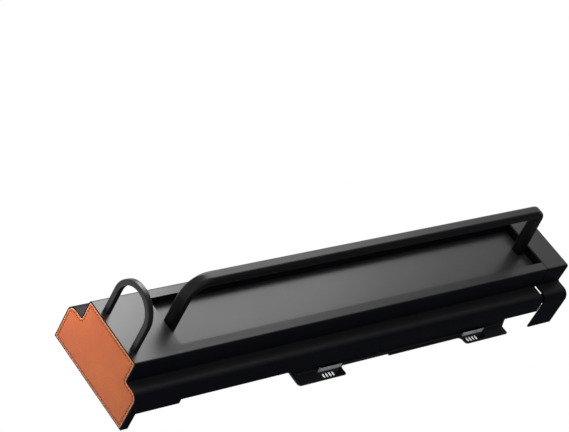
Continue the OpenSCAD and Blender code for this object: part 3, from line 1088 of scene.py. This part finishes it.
@dataclass
class BallSlide:
    """One three-member ball slide."""

    side: Side
    members: tuple[str, ...] = ("outer_rail", "mid_rail", "inner_rail")
    cages: tuple[str, ...] = ("outer_cage", "inner_cage")
    balls: tuple[str, ...] = ("outer_balls", "inner_balls")

    def _names(self, stems: Sequence[str]) -> list[str]:
        """The node names of this side."""
        return [f"{stem}_{self.side.value}" for stem in stems]

    def build(self) -> None:
        """Dresses the members, cages and balls."""
        RAIL_ZINC.dress(*self._names(self.members))
        CAGE_STEEL.dress(*self._names(self.cages))
        BALL_STEEL.dress(*self._names(self.balls))


@dataclass
class Carriage:
    """The profile, its two end caps, the rod and the pull loop."""

    caps: tuple[str, ...] = ("front_cap", "rear_hood")
    fasteners: tuple[str, ...] = (
        "inner_rail_screws",
        "inner_rail_nuts",
        "front_cap_screws",
        "loop_screws",
        "rod_screws",
        "rod_washers",
        "rear_hood_screws",
    )

    def build(self) -> None:
        """Dresses the carriage."""
        ANODISED.dress("body_profile")
        CAP_BLACK.dress(*self.caps)
        LOOP_COAT.dress("pull_loop")
        ROD_COAT.dress("hanging_rod")
        SCREW_ZINC.dress(*self.fasteners)


def square(name: str, half: float, parts: int, material: bpy.types.Material) -> bpy.types.Mesh:
    """A flat square that lies in X and Y.

    Args:
        name: the mesh's name.
        half: half of its side, in metres.
        parts: how many parts each side is cut into.
        material: what it is made of.

    Returns:
        The mesh.
    """
    mesh = bmesh.new()
    bmesh.ops.create_grid(mesh, x_segments=parts, y_segments=parts, size=half)
    data = bpy.data.meshes.new(name)
    mesh.to_mesh(data)
    mesh.free()
    data.materials.append(material)
    return data


@dataclass(frozen=True)
class Fitting:
    """What stands in the studio and is aimed at a point. Metres."""

    name: str
    place: Point3
    target: Point3

    def stand(self, data: bpy.types.ID, axis: str) -> bpy.types.Object:
        """Sets up the fitting's object.

        Args:
            data: its lamp or mesh.
            axis: its own axis that points at the target.

        Returns:
            The new object.
        """
        holder = bpy.data.objects.new(self.name, data)
        holder.location = self.place
        aim = Vector(self.target) - Vector(self.place)
        holder.rotation_euler = aim.to_track_quat(axis, "Y").to_euler()
        bpy.context.scene.collection.objects.link(holder)
        return holder


@dataclass(frozen=True)
class Panel(Fitting):
    """A square soft lamp: its side, its brightness against white, and if reflections show it."""

    side: float
    brightness: float
    colour: RGB = WHITE
    mirrored: bool = True

    def build(self) -> None:
        """Makes the lamp, with its power worked out from its area and brightness."""
        lamp = bpy.data.lights.new(self.name, "AREA")
        lamp.shape = "SQUARE"
        lamp.size = self.side
        lamp.energy = self.brightness * math.pi * self.side**2
        lamp.color = self.colour
        holder = self.stand(lamp, "-Z")
        holder.visible_camera = False
        holder.visible_glossy = self.mirrored


@dataclass(frozen=True)
class Card(Fitting):
    """A black card that stands out of the camera's view and is seen only in reflections."""

    half: float

    def build(self) -> None:
        """Makes the card, which stands in the studio."""
        card = self.stand(square(self.name, self.half, 1, CARD_BLACK.material()), "Z")
        card.visible_camera = card.visible_diffuse = card.visible_shadow = False


@dataclass
class Studio:
    """Floor, lamps, cards, backdrop light and camera. Metres."""

    floor_z: float = -3.0
    floor_half: float = 40.0
    floor_parts: int = 4
    floor_colour: RGB = (0.86, 0.86, 0.85)
    floor_cloud: float = 0.8
    floor_shade: float = 0.98
    floor_glow: float = 0.48
    floor_roughness: float = 0.9
    floor_specular: float = 0.1
    sky: float = 0.33
    eye: Point3 = (-0.7847, -1.3081, -1.1556)
    right: Point3 = (-0.5449, 0.7375, -0.3990)
    up: Point3 = (0.6980, 0.1352, -0.7032)
    lens: float = 138.9
    sensor: float = 36.0
    clip: tuple[float, float] = (0.05, 60.0)
    panels: tuple[Panel, ...] = (
        Panel("lamp_under_front", (0.36, 0.14, -0.55), (0.0, -0.28, -0.06), 0.45, 3.2),
        Panel("lamp_under_wide", (0.60, 0.45, -0.75), (0.0, -0.10, -0.06), 0.80, 1.9),
        Panel("lamp_under_cap", (0.16, -0.175, -0.224), (0.03, -0.36, -0.06), 0.12, 7.5),
        Panel("lamp_pad", (0.14, -0.40, -0.10), (0.0, -0.31, -0.03), 0.08, 17.0, mirrored=False),
        Panel("lamp_front", (-0.60, -1.70, -0.60), (0.0, -0.2, -0.05), 0.90, 1.3),
        Panel("lamp_above", (0.5, -0.6, 1.9), (0.0, 0.0, -0.05), 1.8, 1.6),
        Panel("lamp_far_side", (1.4, -0.5, 0.25), (0.0, -0.05, -0.05), 0.9, 6.0, mirrored=False),
        Panel("lamp_back", (0.6, 1.8, 0.5), (0.0, 0.15, -0.05), 0.8, 5.0, mirrored=False),
        Panel("lamp_rear", (-0.6, 1.6, 0.3), (0.0, 0.0, -0.05), 1.0, 1.5, (0.80, 0.89, 1.0)),
    )
    cards: tuple[Card, ...] = (
        Card("card_left", (-0.66, 0.86, 0.80), (0.0, -0.05, -0.05), 1.15),
        Card("card_shoulder", (-0.78, 0.82, -0.52), (0.0, -0.05, -0.05), 0.5),
        Card("card_low", (-0.42, 0.85, -0.86), (0.0, -0.05, -0.05), 0.42),
    )

    def floor(self) -> None:
        """A wide pale floor, well below the part, that glows a little in what shows it."""
        graph = Surface("pale_floor")
        dark = shaded(self.floor_colour, self.floor_shade)
        graph.set(
            Base_Color=graph.mix(graph.noise(self.floor_cloud), dark, self.floor_colour),
            Emission_Color=graph.mix(graph.backdrop_rays(), BLACK, (self.floor_glow,) * 3),
            Emission_Strength=1.0,
            Roughness=self.floor_roughness,
            Specular_IOR_Level=self.floor_specular,
        )
        data = square("floor", self.floor_half, self.floor_parts, graph.material)
        ground = bpy.data.objects.new("floor", data)
        ground.location = (0.0, 0.0, self.floor_z)
        bpy.context.scene.collection.objects.link(ground)

    def world(self) -> None:
        """A white backdrop for what shows it, and a lower light for the rest."""
        world = bpy.data.worlds.new("studio_world")
        bpy.context.scene.world = world
        world.use_nodes = True
        graph = Graph(world.node_tree)
        strength = graph.backdrop_rays() * (1.0 - self.sky) + self.sky
        light = graph.add("ShaderNodeBackground", None, {"Color": WHITE, "Strength": strength})
        graph.add("ShaderNodeOutputWorld", None, {"Surface": graph.out(light, "Background")})

    def camera(self) -> None:
        """The camera at the photograph's place, which looks up at the closed rail."""
        data = bpy.data.cameras.new("camera")
        data.lens = self.lens
        data.sensor_fit = "HORIZONTAL"
        data.sensor_width = self.sensor
        data.clip_start, data.clip_end = self.clip
        holder = bpy.data.objects.new("camera", data)
        right, up = Vector(self.right), Vector(self.up)
        turn = Matrix((right, up, right.cross(up))).transposed().to_4x4()
        holder.matrix_world = Matrix.Translation(self.eye) @ turn
        bpy.context.scene.collection.objects.link(holder)
        bpy.context.scene.camera = holder

    def build(self) -> None:
        """Sets up the whole studio."""
        bpy.context.scene.view_settings.view_transform = "Standard"
        self.floor()
        self.world()
        self.camera()
        for item in (*self.panels, *self.cards):
            item.build()


def main() -> None:
    """Builds the sub-assemblies in order."""
    logging.basicConfig(level=logging.INFO, format="%(name)s %(message)s")
    Studio().build()
    ShelfMount().build()
    for side in Side:
        BallSlide(side).build()
    Carriage().build()
    FrontPad().build()


if __name__ == "__main__":
    main()
